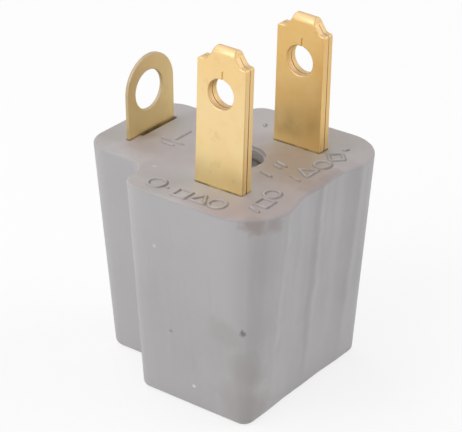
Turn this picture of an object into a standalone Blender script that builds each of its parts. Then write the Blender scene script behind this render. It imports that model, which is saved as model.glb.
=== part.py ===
"""Grounding plug adapter: two blades and a ring tab on one side, a three-hole socket on the other.

Metres, +Z up. The adapter stands on its socket face (z = 0) with its blades up. The origin is midway
between the two blades, +X runs from the near blade to the far one, and +Y points at the ring tab.
"""
import math

import bmesh
import bpy
from mathutils import Vector

# Moulded body: sizes at the blade end, the wide end of its draft
BODY_HEIGHT = 0.0250
BLADE_END_HALF_WIDTH = 0.01185
BLADE_END_FRONT = 0.00875
BLADE_END_FLUTE_DEPTH = 0.00090
BLADE_END_STEP = 0.0092
BLADE_END_NOSE_HALF_WIDTH = 0.0072
BLADE_END_NOSE_WALL = 0.0035
BLADE_END_FRONT_RADIUS = 0.0050
BLADE_END_STEP_RADIUS = 0.0022
BLADE_END_NOSE_RADIUS = 0.0036

# The same sizes at the socket end, the narrow end
SOCKET_END_HALF_WIDTH = 0.01015
SOCKET_END_FRONT = 0.00585
SOCKET_END_FLUTE_DEPTH = 0.00045
SOCKET_END_STEP = 0.0086
SOCKET_END_NOSE_HALF_WIDTH = 0.0054
SOCKET_END_NOSE_WALL = 0.0017
SOCKET_END_FRONT_RADIUS = 0.0013
SOCKET_END_STEP_RADIUS = 0.0013
SOCKET_END_NOSE_RADIUS = 0.0019

# Two shallow grip flutes side by side in the front, with a soft ridge between them
FLUTE_EDGE = 0.0063
FLUTE_FLOOR = 0.0033
FLUTE_EDGE_RADIUS = 0.0006
FLUTE_FLOOR_RADIUS = 0.0080
RIDGE_HEIGHT = 0.00025
RIDGE_RADIUS = 0.0030

# Rounding of the body's end edges
BLADE_FACE_EDGE = 0.00025
SOCKET_FACE_EDGE = 0.00060

# Walls, and the clearance between neighbouring pieces
FRONT_WALL = 0.0030
RIM_WALL = 0.0009
COVER_THICKNESS = 0.0022
CLEARANCE = 0.0003

# Blade contacts: one folded brass strip each, a blade outside and two spring leaves inside
BLADE_PITCH = 0.0127
BLADE_WIDTH = 0.0060
BLADE_REACH = 0.0153
LEAF_THICKNESS = 0.0006
LEAF_GAP = 0.0003
NECK_FOOT_WIDTH = 0.00425
NECK_WAIST_WIDTH = 0.0029
NECK_TOP_WIDTH = 0.0025
NECK_SHIFT = -0.0002
NECK_HEIGHT = 0.0016
NECK_WAIST_BELOW_TIP = 0.00065
NECK_RADIUS = 0.0007
NECK_WAIST_RADIUS = 0.0008
SHOULDER_RADIUS = 0.00025
BLADE_HOLE_DIAMETER = 0.0032
BLADE_HOLE_BELOW_TIP = 0.0049
SPRING_WIDTH = 0.0074
SPRING_SPREAD = 0.0035
SPRING_GRIP = 0.0014
GRIP_HEIGHT = 0.0030
BOW_HEIGHT = 0.0105
BOW_RADIUS = 0.0060
GRIP_RADIUS = 0.0015
ROOT_RADIUS = 0.0030
ROOT_DEPTH = 0.0012

# How the contacts have settled: the far one nearer the front and lower, and both blades a little bent,
# as slopes toward +X and +Y and the slope of the tip along Y
CONTACT_PLAY = 0.0008
FAR_CONTACT_SHIFT = -0.0006
NEAR_BLADE_LEAN = (0.0135, -0.0300, 0.0220)
FAR_BLADE_LEAN = (0.0550, 0.0070, 0.0450)

# Ground contact: a ring tab outside and a rolled barrel inside, one sheet of brass
GROUND_PIN_OFFSET = 0.0119
BARREL_BORE = 0.0046
BARREL_LENGTH = 0.0110
BARREL_MOUTH = 0.0050
BARREL_MOUTH_DEPTH = 0.0012
BARREL_SPLIT = math.radians(50)
TAB_THICKNESS = 0.0004
TAB_WIDTH = 0.0076
TAB_HEIGHT = 0.00865
TAB_HOLE_HEIGHT = 0.0047
TAB_HOLE_SHIFT = -0.0003
TAB_HOLE_DIAMETER = 0.0044
TAB_SLOT_EXTRA = 0.0001
NECK_STRIP_WIDTH = 0.0034
NECK_STRIP_TAPER = 0.0030
NECK_STRIP_OVERLAP = 0.0030
NECK_STRIP_PROUD = 0.0002

# Tubular rivet that holds the cover, its heads sunk in both faces
RIVET_OFFSET = 0.0031
RIVET_DIAMETER = 0.0030
RIVET_BORE = 0.0018
RIVET_HEAD_DIAMETER = 0.0052
RIVET_TAIL_DIAMETER = 0.0040
RIVET_HEAD_THICKNESS = 0.0006
RIVET_SINK_BLADE_FACE = 0.0020
RIVET_SINK_SOCKET_FACE = 0.0012
SINK_MOUTH_DIAMETER = 0.0062
SINK_MOUTH_DEPTH = 0.0004

# Socket openings in the cover
SLOT_WIDTH = 0.0022
NEUTRAL_SLOT_LENGTH = 0.0079
HOT_SLOT_LENGTH = 0.0070
GROUND_HOLE_WIDTH = 0.0053
LEAD_IN = 0.0004
SLOT_RADIUS = 0.0003
POCKET_RADIUS = 0.0005

# Hollow between the blade pockets that keeps the moulding's walls even
CORE_WALL = 0.0014

# Fineness of the facets, and small lengths for cutting
ARC_STEPS = 5
FOLD_STEPS = 8
RING_STEPS = 32
TAB_STEPS = 10
CUT_MARGIN = 0.0010
SMALLEST_RADIUS = 0.0001
MERGE_DISTANCE = 0.000001

# Places that follow from the sizes
LEDGE_HEIGHT = COVER_THICKNESS + CLEARANCE
POCKET_CEILING = BODY_HEIGHT - FRONT_WALL
BLADE_THICKNESS = 2 * LEAF_THICKNESS + LEAF_GAP
SPRING_LENGTH = POCKET_CEILING - LEDGE_HEIGHT - CLEARANCE - CONTACT_PLAY
BLADE_LENGTH = CLEARANCE + FRONT_WALL + BLADE_REACH
BARREL_RADIUS = BARREL_BORE / 2 + TAB_THICKNESS
TAB_FRONT = GROUND_PIN_OFFSET + BARREL_BORE / 2 + NECK_STRIP_PROUD
TAB_BACK = TAB_FRONT + TAB_THICKNESS
BLADE_END_NOSE = TAB_BACK + BLADE_END_NOSE_WALL
SOCKET_END_NOSE = TAB_BACK + SOCKET_END_NOSE_WALL


def clear_scene():
    for obj in list(bpy.data.objects):
        bpy.data.objects.remove(obj, do_unlink=True)


def make_material(name, colour, roughness, metallic):
    material = bpy.data.materials.new(name)
    material.use_nodes = True
    shader = material.node_tree.nodes["Principled BSDF"]
    shader.inputs["Base Color"].default_value = (*colour, 1.0)
    shader.inputs["Roughness"].default_value = roughness
    shader.inputs["Metallic"].default_value = metallic
    return material


def grey_plastic(name):
    return make_material(name, (0.41, 0.40, 0.40), 0.55, 0.0)


def brass(name):
    return make_material(name, (0.80, 0.56, 0.24), 0.28, 1.0)


def add_object(name, bm, material=None):
    """Turns a closed bmesh into an object with outward faces."""
    bmesh.ops.remove_doubles(bm, verts=bm.verts, dist=MERGE_DISTANCE)
    bmesh.ops.recalc_face_normals(bm, faces=bm.faces)
    mesh = bpy.data.meshes.new(name)
    bm.to_mesh(mesh)
    bm.free()
    mesh.shade_smooth()
    mesh.set_sharp_from_angle(angle=math.radians(30))
    obj = bpy.data.objects.new(name, mesh)
    bpy.context.scene.collection.objects.link(obj)
    if material:
        mesh.materials.append(material)
    return obj


def cut(target, cutter, operation="DIFFERENCE"):
    """Leaves the cutter in the file as a wire guide."""
    cutter.hide_render = True
    cutter.display_type = "WIRE"
    modifier = target.modifiers.new(cutter.name, "BOOLEAN")
    modifier.operation = operation
    modifier.object = cutter


def corner_arc(before, corner, after, radius, steps):
    """Points of the arc that rounds one corner of an outline, on either side of the outline's turn."""
    incoming = (corner - before).normalized()
    outgoing = (after - corner).normalized()
    turn = math.atan2(incoming.cross(outgoing), incoming.dot(outgoing))
    if abs(turn) < 1e-6:
        return [corner.copy()]
    tangent = radius * math.tan(abs(turn) / 2)
    start = corner - incoming * tangent
    side = Vector((-incoming.y, incoming.x)) * math.copysign(radius, turn)
    centre = start + side
    points = []
    for step in range(steps + 1):
        angle = turn * step / steps
        arm = -side
        points.append(centre + Vector((arm.x * math.cos(angle) - arm.y * math.sin(angle),
                                       arm.x * math.sin(angle) + arm.y * math.cos(angle))))
    return points


def inset_corner(before, corner, after, inset):
    """Moves a corner of a counterclockwise outline inward, by the same distance from both its sides."""
    incoming = (corner - before).normalized()
    outgoing = (after - corner).normalized()
    inward = Vector((-incoming.y, incoming.x)) + Vector((-outgoing.y, outgoing.x))
    return corner + inward * (inset / (1 + incoming.dot(outgoing)))


def rounded_outline(corners, inset=0.0, steps=ARC_STEPS):
    """Rounds a closed counterclockwise outline of (x, y, radius) corners, moved inward by an inset."""
    places = [Vector((x, y)) for x, y, _ in corners]
    count = len(corners)
    moved = [inset_corner(places[i - 1], places[i], places[(i + 1) % count], inset) for i in range(count)]
    points = []
    for i in range(count):
        before, corner, after = moved[i - 1], moved[i], moved[(i + 1) % count]
        convex = (corner - before).cross(after - corner) > 0
        radius = corners[i][2] - inset if convex else corners[i][2] + inset
        points += corner_arc(before, corner, after, max(radius, SMALLEST_RADIUS), steps)
    return points


def rectangle(half_x, half_y, centre_x=0.0, centre_y=0.0, radius=SMALLEST_RADIUS):
    """Corners of a rectangle, counterclockwise."""
    signs = ((-1, -1), (1, -1), (1, 1), (-1, 1))
    return [(centre_x + sx * half_x, centre_y + sy * half_y, radius) for sx, sy in signs]


def circle(radius, centre_x=0.0, centre_y=0.0, steps=RING_STEPS):
    angles = [2 * math.pi * i / steps for i in range(steps)]
    return [Vector((centre_x + radius * math.cos(a), centre_y + radius * math.sin(a))) for a in angles]


def loft(rings, closed=False):
    """Joins rings of equally many 3-D points into one solid: flat ends, or the last ring to the first."""
    bm = bmesh.new()
    loops = [[bm.verts.new(point) for point in ring] for ring in rings]
    count = len(loops[0])
    pairs = list(zip(loops, loops[1:]))
    if closed:
        pairs.append((loops[-1], loops[0]))
    for lower, upper in pairs:
        for i in range(count):
            j = (i + 1) % count
            bm.faces.new((lower[i], lower[j], upper[j], upper[i]))
    if not closed:
        bm.faces.new(list(reversed(loops[0])))
        bm.faces.new(loops[-1])
    return bm


def prism_up(outline, bottom, top):
    """Extrudes an outline in XY along Z."""
    return loft([[Vector((p.x, p.y, z)) for p in outline] for z in (bottom, top)])


def prism_across(outline, low, high):
    """Extrudes an outline in XZ along Y."""
    return loft([[Vector((p.x, y, p.y)) for p in outline] for y in (low, high)])


def prism_sideways(outline, low, high):
    """Extrudes an outline in YZ along X."""
    return loft([[Vector((x, p.x, p.y)) for p in outline] for x in (low, high)])


def between(socket_end, blade_end, height):
    """A body size at a height, on its straight draft from the socket end to the blade end."""
    return socket_end + (blade_end - socket_end) * height / BODY_HEIGHT


def body_corners(height):
    """The body's outline at a height, as corners: fluted front, step on each side, narrower nose."""
    half_width = between(SOCKET_END_HALF_WIDTH, BLADE_END_HALF_WIDTH, height)
    front = between(SOCKET_END_FRONT, BLADE_END_FRONT, height)
    flute = between(SOCKET_END_FLUTE_DEPTH, BLADE_END_FLUTE_DEPTH, height)
    step = between(SOCKET_END_STEP, BLADE_END_STEP, height)
    nose_half_width = between(SOCKET_END_NOSE_HALF_WIDTH, BLADE_END_NOSE_HALF_WIDTH, height)
    nose = between(SOCKET_END_NOSE, BLADE_END_NOSE, height)
    front_radius = between(SOCKET_END_FRONT_RADIUS, BLADE_END_FRONT_RADIUS, height)
    step_radius = between(SOCKET_END_STEP_RADIUS, BLADE_END_STEP_RADIUS, height)
    nose_radius = between(SOCKET_END_NOSE_RADIUS, BLADE_END_NOSE_RADIUS, height)
    ridge = RIDGE_HEIGHT * flute / BLADE_END_FLUTE_DEPTH
    right = [(FLUTE_FLOOR, flute - front, FLUTE_FLOOR_RADIUS),
             (FLUTE_EDGE, -front, FLUTE_EDGE_RADIUS),
             (half_width, -front, front_radius),
             (half_width, step, step_radius),
             (nose_half_width, step, step_radius),
             (nose_half_width, nose, nose_radius)]
    left = [(-x, y, radius) for x, y, radius in reversed(right)]
    return [(0.0, flute - front - ridge, RIDGE_RADIUS)] + right + left


def end_rounding(radius, steps=3):
    """Pairs of (distance from the face, inset) that round an end edge, from the face inward."""
    angles = [math.pi / 2 * i / steps for i in range(steps + 1)]
    return [(radius * (1 - math.cos(a)), radius * (1 - math.sin(a))) for a in angles]


def body_solid():
    """Lofts the drafted body, with its two end edges rounded."""
    levels = end_rounding(SOCKET_FACE_EDGE)
    levels += [(BODY_HEIGHT - depth, inset) for depth, inset in reversed(end_rounding(BLADE_FACE_EDGE))]
    rings = []
    for height, inset in levels:
        outline = rounded_outline(body_corners(height), inset)
        rings.append([Vector((p.x, p.y, height)) for p in outline])
    return loft(rings)


def opening_with_lead_in(corners):
    """A cutter for an opening in the cover, wider at its mouth."""
    levels = ((-CUT_MARGIN, -LEAD_IN - CUT_MARGIN), (LEAD_IN, 0.0), (COVER_THICKNESS + CUT_MARGIN, 0.0))
    rings = []
    for height, inset in levels:
        rings.append([Vector((p.x, p.y, height)) for p in rounded_outline(corners, inset)])
    return loft(rings)


def housing():
    """The moulded body: blade face and sides in one, pockets for the contacts, a seat for the cover."""
    body = add_object("housing", body_solid(), grey_plastic("housing_plastic"))

    seat = rounded_outline(body_corners(0.0), RIM_WALL)
    cut(body, add_object("cover_seat_cutter", prism_up(seat, -CUT_MARGIN, LEDGE_HEIGHT)))

    pocket_half_x = SPRING_SPREAD / 2 + CLEARANCE
    pocket_half_y = SPRING_WIDTH / 2 + CLEARANCE
    slot_half_x = BLADE_THICKNESS / 2 + CLEARANCE
    slot_half_y = BLADE_WIDTH / 2 + CLEARANCE
    for side, centre, shift in (("near", -BLADE_PITCH / 2, 0.0), ("far", BLADE_PITCH / 2, FAR_CONTACT_SHIFT)):
        pocket = rounded_outline(rectangle(pocket_half_x, pocket_half_y, centre, shift, POCKET_RADIUS))
        slot = rounded_outline(rectangle(slot_half_x, slot_half_y, centre, shift, SLOT_RADIUS))
        cut(body, add_object(side + "_pocket_cutter", prism_up(pocket, -CUT_MARGIN, POCKET_CEILING)))
        slot_cutter = prism_up(slot, POCKET_CEILING - CUT_MARGIN, BODY_HEIGHT + CUT_MARGIN)
        cut(body, add_object(side + "_slot_cutter", slot_cutter))

    barrel_ceiling = LEDGE_HEIGHT + BARREL_LENGTH + CLEARANCE
    barrel_pocket = circle(BARREL_RADIUS + CLEARANCE, 0.0, GROUND_PIN_OFFSET)
    cut(body, add_object("barrel_pocket_cutter", prism_up(barrel_pocket, -CUT_MARGIN, barrel_ceiling)))

    slot_back = TAB_BACK + CLEARANCE
    slot_front = TAB_FRONT - CLEARANCE - TAB_SLOT_EXTRA
    tab_slot = rectangle(TAB_WIDTH / 2 + CLEARANCE, (slot_back - slot_front) / 2,
                         0.0, (slot_back + slot_front) / 2, POCKET_RADIUS)
    tab_cutter = prism_up(rounded_outline(tab_slot), -CUT_MARGIN, BODY_HEIGHT + CUT_MARGIN)
    cut(body, add_object("tab_slot_cutter", tab_cutter))

    rivet_bore = circle(RIVET_DIAMETER / 2 + CLEARANCE, 0.0, RIVET_OFFSET)
    rivet_sink = circle(RIVET_HEAD_DIAMETER / 2 + CLEARANCE, 0.0, RIVET_OFFSET)
    sink_floor = BODY_HEIGHT - RIVET_SINK_BLADE_FACE
    cut(body, add_object("rivet_bore_cutter", prism_up(rivet_bore, -CUT_MARGIN, BODY_HEIGHT + CUT_MARGIN)))
    cut(body, add_object("rivet_sink_cutter", prism_up(rivet_sink, sink_floor, BODY_HEIGHT + CUT_MARGIN)))
    sink_mouth = circle(SINK_MOUTH_DIAMETER / 2, 0.0, RIVET_OFFSET)
    mouth_floor = BODY_HEIGHT - SINK_MOUTH_DEPTH
    cut(body, add_object("sink_mouth_cutter", prism_up(sink_mouth, mouth_floor, BODY_HEIGHT + CUT_MARGIN)))

    core_half_x = BLADE_PITCH / 2 - pocket_half_x - CORE_WALL
    core_back = RIVET_OFFSET - RIVET_DIAMETER / 2 - CLEARANCE - CORE_WALL
    core_half_y = (core_back + pocket_half_y) / 2
    core = rectangle(core_half_x, core_half_y, 0.0, core_back - core_half_y, POCKET_RADIUS)
    cut(body, add_object("core_cutter", prism_up(rounded_outline(core), -CUT_MARGIN, POCKET_CEILING)))
    return body


def socket_cover():
    """The plate let into the socket end: a wide slot, a narrow slot and a ground hole flat on one side."""
    plate = prism_up(rounded_outline(body_corners(0.0), RIM_WALL + CLEARANCE), 0.0, COVER_THICKNESS)
    cover = add_object("socket_cover", plate, grey_plastic("cover_plastic"))

    slots = (("neutral", -1, NEUTRAL_SLOT_LENGTH), ("hot", 1, HOT_SLOT_LENGTH))
    for name, sign, length in slots:
        corners = rectangle(SLOT_WIDTH / 2, length / 2, sign * BLADE_PITCH / 2, 0.0, SLOT_RADIUS)
        cut(cover, add_object(name + "_slot_cutter", opening_with_lead_in(corners)))

    half = GROUND_HOLE_WIDTH / 2
    flat = GROUND_PIN_OFFSET - half
    top = GROUND_PIN_OFFSET + half
    corners = [(-half, flat, SLOT_RADIUS), (half, flat, SLOT_RADIUS), (half, top, half), (-half, top, half)]
    cut(cover, add_object("ground_hole_cutter", opening_with_lead_in(corners)))

    rivet_bore = circle(RIVET_DIAMETER / 2 + CLEARANCE, 0.0, RIVET_OFFSET)
    rivet_sink = circle(RIVET_TAIL_DIAMETER / 2 + CLEARANCE, 0.0, RIVET_OFFSET)
    bore = prism_up(rivet_bore, -CUT_MARGIN, COVER_THICKNESS + CUT_MARGIN)
    cut(cover, add_object("cover_bore_cutter", bore))
    cut(cover, add_object("cover_sink_cutter", prism_up(rivet_sink, -CUT_MARGIN, RIVET_SINK_SOCKET_FACE)))
    return cover


def smooth_path(places):
    """Points of an open path with its inner corners rounded, from (x, z, radius) places."""
    vectors = [Vector((x, z)) for x, z, _ in places]
    points = [vectors[0]]
    for i in range(1, len(places) - 1):
        points += corner_arc(vectors[i - 1], vectors[i], vectors[i + 1], places[i][2], ARC_STEPS)
    return points + [vectors[-1]]


def ribbon(path, thickness):
    """Outline of a strip of even thickness that follows an open path."""
    left = []
    right = []
    for i, point in enumerate(path):
        before = path[max(i - 1, 0)]
        after = path[min(i + 1, len(path) - 1)]
        along = (after - before).normalized()
        side = Vector((-along.y, along.x)) * thickness / 2
        left.append(point + side)
        right.append(point - side)
    return left + right[::-1]


def folded_strip_path(foot):
    """Centre line of the folded contact strip, from one spring mouth over the fold to the other."""
    leaf = (LEAF_GAP + LEAF_THICKNESS) / 2
    spread = (SPRING_SPREAD - LEAF_THICKNESS) / 2
    grip = (SPRING_GRIP + LEAF_THICKNESS) / 2
    fold_centre = SPRING_LENGTH + BLADE_LENGTH - BLADE_THICKNESS / 2
    rising = smooth_path([(spread, 0.0, 0.0),
                          (grip, GRIP_HEIGHT, GRIP_RADIUS),
                          (spread, BOW_HEIGHT, BOW_RADIUS),
                          (leaf, SPRING_LENGTH - ROOT_DEPTH, ROOT_RADIUS),
                          (leaf, foot, 0.0),
                          (leaf, fold_centre, 0.0)])
    angles = [math.pi * i / FOLD_STEPS for i in range(1, FOLD_STEPS)]
    fold = [Vector((leaf * math.cos(a), fold_centre + leaf * math.sin(a))) for a in angles]
    falling = [Vector((-p.x, p.y)) for p in reversed(rising)]
    return rising + fold + falling


def blade_outline():
    """The stamped outline of a contact seen from the side: springs, blade, shoulders and tapering neck."""
    tip = SPRING_LENGTH + BLADE_LENGTH
    shoulder = tip - NECK_HEIGHT
    waist = tip - NECK_WAIST_BELOW_TIP
    taper = (NECK_WAIST_WIDTH - NECK_TOP_WIDTH) / NECK_WAIST_BELOW_TIP
    width_above_tip = NECK_TOP_WIDTH - taper * CUT_MARGIN
    sides = []
    for side in (0.5, -0.5):
        sides.append([(side * SPRING_WIDTH, -CUT_MARGIN, SMALLEST_RADIUS),
                      (side * SPRING_WIDTH, SPRING_LENGTH, SHOULDER_RADIUS),
                      (side * BLADE_WIDTH, SPRING_LENGTH, SHOULDER_RADIUS),
                      (side * BLADE_WIDTH, shoulder, SHOULDER_RADIUS),
                      (side * NECK_FOOT_WIDTH + NECK_SHIFT, shoulder, NECK_RADIUS),
                      (side * NECK_WAIST_WIDTH + NECK_SHIFT, waist, NECK_WAIST_RADIUS),
                      (side * width_above_tip + NECK_SHIFT, tip + CUT_MARGIN, SMALLEST_RADIUS)])
    return rounded_outline(sides[0] + sides[1][::-1])


def lean_over(obj, foot, lean):
    """Bends what stands higher than the blade's foot: stretches one side, then slopes it sideways."""
    toward_x, toward_y, tilt = lean
    for vertex in obj.data.vertices:
        if vertex.co.z > foot:
            rise = (vertex.co.z - foot) * (1 + tilt * vertex.co.y / BLADE_REACH)
            vertex.co = (vertex.co.x + toward_x * rise, vertex.co.y + toward_y * rise, foot + rise)


def blade_contact(name, place, lean):
    """One brass strip, folded over at the blade's tip, whose two ends are the socket's spring leaves."""
    foot = BODY_HEIGHT - place[2]
    half_width = SPRING_WIDTH / 2 + CUT_MARGIN
    strip = prism_across(ribbon(folded_strip_path(foot), LEAF_THICKNESS), -half_width, half_width)
    contact = add_object(name, strip, brass(name + "_brass"))
    reach = SPRING_SPREAD
    stamp = add_object(name + "_stamp", prism_sideways(blade_outline(), -reach, reach))
    hole_height = SPRING_LENGTH + BLADE_LENGTH - BLADE_HOLE_BELOW_TIP
    hole = circle(BLADE_HOLE_DIAMETER / 2, 0.0, hole_height)
    drill = add_object(name + "_drill", prism_sideways(hole, -reach, reach))
    for obj in (contact, stamp, drill):
        lean_over(obj, foot, lean)
    cut(contact, stamp, "INTERSECT")
    cut(contact, drill)
    for tool in (stamp, drill):
        tool.parent = contact
    contact.location = place
    return contact


def revolve(profile, centre_x, centre_y, start=0.0, sweep=2 * math.pi, steps=RING_STEPS):
    """Turns a closed (radius, z) profile about an upright axis, all the way or with flat ends."""
    closed = abs(sweep) > 2 * math.pi - 1e-6
    angles = [start + sweep * i / steps for i in range(steps if closed else steps + 1)]
    rings = []
    for a in angles:
        ring = [Vector((centre_x + r * math.cos(a), centre_y + r * math.sin(a), z)) for r, z in profile]
        rings.append(ring)
    return loft(rings, closed)


def ground_barrel():
    """The rolled barrel that grips the ground pin, split along the side that faces the blades."""
    bore = BARREL_BORE / 2
    mouth = BARREL_MOUTH / 2
    profile = [(mouth, LEDGE_HEIGHT), (BARREL_RADIUS, LEDGE_HEIGHT),
               (BARREL_RADIUS, LEDGE_HEIGHT + BARREL_LENGTH), (bore, LEDGE_HEIGHT + BARREL_LENGTH),
               (bore, LEDGE_HEIGHT + BARREL_MOUTH_DEPTH)]
    start = -math.pi / 2 + BARREL_SPLIT / 2
    return revolve(profile, 0.0, GROUND_PIN_OFFSET, start, 2 * math.pi - BARREL_SPLIT)


def ground_sheet_outline():
    """The flat of the ground contact: a narrow neck off the barrel, widening into the round-topped tab."""
    barrel_top = LEDGE_HEIGHT + BARREL_LENGTH
    neck = NECK_STRIP_WIDTH / 2
    tab = TAB_WIDTH / 2
    crown = BODY_HEIGHT + TAB_HEIGHT
    wide_from = barrel_top + NECK_STRIP_TAPER
    corners = [(neck, barrel_top - NECK_STRIP_OVERLAP, SMALLEST_RADIUS),
               (neck, barrel_top, NECK_RADIUS),
               (tab, wide_from, NECK_RADIUS),
               (tab, crown, tab)]
    corners += [(-x, z, radius) for x, z, radius in reversed(corners)]
    return rounded_outline(corners, steps=TAB_STEPS)


def ground_contact():
    """One brass sheet: ring tab through the blade face, neck, and a barrel rolled from its lower end."""
    contact = add_object("ground_contact", ground_barrel(), brass("ground_brass"))
    sheet = prism_across(ground_sheet_outline(), TAB_FRONT, TAB_BACK)
    cut(contact, add_object("ground_sheet", sheet), "UNION")
    hole = circle(TAB_HOLE_DIAMETER / 2, TAB_HOLE_SHIFT, BODY_HEIGHT + TAB_HOLE_HEIGHT)
    drill = prism_across(hole, TAB_FRONT - CUT_MARGIN, TAB_BACK + CUT_MARGIN)
    cut(contact, add_object("tab_drill", drill))
    return contact


def cover_rivet():
    """A tubular rivet through cover and housing, flanged at both ends inside the two sinks."""
    bore = RIVET_BORE / 2
    shank = RIVET_DIAMETER / 2
    head = RIVET_HEAD_DIAMETER / 2
    tail = RIVET_TAIL_DIAMETER / 2
    edge = RIVET_HEAD_THICKNESS / 2
    lower_seat = RIVET_SINK_SOCKET_FACE - CLEARANCE
    upper_seat = BODY_HEIGHT - RIVET_SINK_BLADE_FACE + CLEARANCE
    bottom = lower_seat - RIVET_HEAD_THICKNESS
    top = upper_seat + RIVET_HEAD_THICKNESS
    profile = [(bore, bottom), (tail - edge, bottom), (tail, bottom + edge), (tail, lower_seat),
               (shank, lower_seat), (shank, upper_seat),
               (head, upper_seat), (head, top - edge), (head - edge, top), (bore, top)]
    rivet = revolve(profile, 0.0, RIVET_OFFSET)
    steel = make_material("rivet_steel", (0.35, 0.33, 0.30), 0.45, 1.0)
    return add_object("cover_rivet", rivet, steel)


def build():
    clear_scene()
    housing()
    socket_cover()
    # The near contact is pushed up against the blade face's wall, the far one has slipped back
    near = (-BLADE_PITCH / 2, 0.0, LEDGE_HEIGHT + CONTACT_PLAY)
    far = (BLADE_PITCH / 2, FAR_CONTACT_SHIFT, LEDGE_HEIGHT)
    blade_contact("near_blade_contact", near, NEAR_BLADE_LEAN)
    blade_contact("far_blade_contact", far, FAR_BLADE_LEAN)
    ground_contact()
    cover_rivet()


build()
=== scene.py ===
"""Looks of the grounding plug adapter: moulded grey body, folded brass blades, ring tab and rivet.

Metres, in the part's own frame: the adapter stands on its socket face with its blades up, +X runs from
the near blade to the far one, and +Y points at the ring tab.
"""
import math

import bmesh
import bpy
from mathutils import Matrix, Vector

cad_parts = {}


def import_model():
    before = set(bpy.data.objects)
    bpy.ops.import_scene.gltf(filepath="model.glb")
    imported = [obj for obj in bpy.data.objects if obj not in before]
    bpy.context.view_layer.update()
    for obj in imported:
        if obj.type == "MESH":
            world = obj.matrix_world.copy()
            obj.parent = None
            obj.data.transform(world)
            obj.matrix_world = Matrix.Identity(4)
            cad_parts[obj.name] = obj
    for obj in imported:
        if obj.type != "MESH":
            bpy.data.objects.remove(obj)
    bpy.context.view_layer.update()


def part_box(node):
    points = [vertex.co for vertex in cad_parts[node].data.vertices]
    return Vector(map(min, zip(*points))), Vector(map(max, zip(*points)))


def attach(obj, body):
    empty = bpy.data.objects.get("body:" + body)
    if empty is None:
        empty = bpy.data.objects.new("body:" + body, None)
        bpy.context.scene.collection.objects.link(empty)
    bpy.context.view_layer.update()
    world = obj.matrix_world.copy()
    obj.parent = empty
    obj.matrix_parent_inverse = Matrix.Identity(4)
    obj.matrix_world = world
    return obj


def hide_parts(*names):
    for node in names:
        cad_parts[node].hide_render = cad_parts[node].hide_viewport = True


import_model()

MM = 0.001

# The body's outline: each size at the socket end and at the blade end, in a straight draft
housing_low, housing_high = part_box("housing")
BODY_HEIGHT = housing_high.z
HALF_WIDTH = (10.15 * MM, housing_high.x)
FRONT = (5.85 * MM, -housing_low.y)
STEP = (8.6 * MM, 9.2 * MM)
NOSE_HALF_WIDTH = (5.4 * MM, 7.2 * MM)
NOSE = (16.75 * MM, housing_high.y)
FRONT_RADIUS = (1.3 * MM, 5.0 * MM)
STEP_RADIUS = (1.3 * MM, 2.2 * MM)
NOSE_RADIUS = (1.65 * MM, 3.3 * MM)
FLUTE_DEPTH = (0.12 * MM, 0.90 * MM)

# Grip flutes in the front, and the roundings of the two end edges
FLUTE_EDGE = 6.3 * MM
FLUTE_FLOOR = 3.3 * MM
FLUTE_EDGE_RADIUS = 0.6 * MM
FLUTE_FLOOR_RADIUS = 8.0 * MM
RIDGE_HEIGHT = 0.25 * MM
RIDGE_RADIUS = 3.0 * MM
BLADE_FACE_EDGE = 0.28 * MM
SOCKET_FACE_EDGE = 0.6 * MM

# Inside of the body
RIM_WALL = 0.9 * MM
FRONT_WALL = 3.0 * MM
COVER_THICKNESS = 2.2 * MM
CLEARANCE = 0.3 * MM
LEDGE_HEIGHT = COVER_THICKNESS + CLEARANCE
POCKET_CEILING = BODY_HEIGHT - FRONT_WALL
POCKET_RADIUS = 0.5 * MM
COVER_FIT = 0.15 * MM
SLOT_FIT = 0.04 * MM
MOUTH_ROUNDING = 0.12 * MM

# Blade contacts: folded strips of two leaves
BLADE_THICKNESS = 1.5 * MM
LEAF_GAP = 0.06 * MM
LEAF_THICKNESS = (BLADE_THICKNESS - LEAF_GAP) / 2
BLADE_WIDTH = 6.0 * MM
BLADE_REACH = 15.3 * MM
CONTACT_LENGTH = 37.0 * MM
NECK_FOOT_WIDTH = 4.25 * MM
NECK_WAIST_WIDTH = 2.9 * MM
NECK_TOP_WIDTH = 2.5 * MM
NECK_SHIFT = -0.2 * MM
NECK_HEIGHT = 1.6 * MM
NECK_WAIST_BELOW_TIP = 0.65 * MM
NECK_RADIUS = 0.7 * MM
NECK_WAIST_RADIUS = 0.8 * MM
NECK_TOP_RADIUS = 0.35 * MM
SHOULDER_RADIUS = 0.25 * MM
BLADE_HOLE_DIAMETER = 3.2 * MM
BLADE_HOLE_BELOW_TIP = 4.9 * MM
GROOVE_WIDTH = 0.34 * MM
GROOVE_HEIGHT = 1.0 * MM
GROOVE_DEPTH = 0.10 * MM
GROOVE_SIDE = -0.25 * MM
SPRING_LENGTH = 18.4 * MM
SPRING_WIDTH = 7.4 * MM
SPRING_SPREAD = 3.5 * MM
SPRING_GRIP = 1.4 * MM
GRIP_HEIGHT = 3.0 * MM
BOW_HEIGHT = 10.5 * MM
BOW_RADIUS = 6.0 * MM
GRIP_RADIUS = 1.5 * MM
ROOT_RADIUS = 3.0 * MM
ROOT_DEPTH = 1.2 * MM
LEAF_EDGE = 0.13 * MM
NEAR_BLADE_LEAN = (0.0135, -0.0300, 0.0220)
FAR_BLADE_LEAN = (0.0550, 0.0070, 0.0450)
NEAR_LEAF_SPREAD = 0.08 * MM
FAR_LEAF_SPREAD = 0.06 * MM

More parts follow.
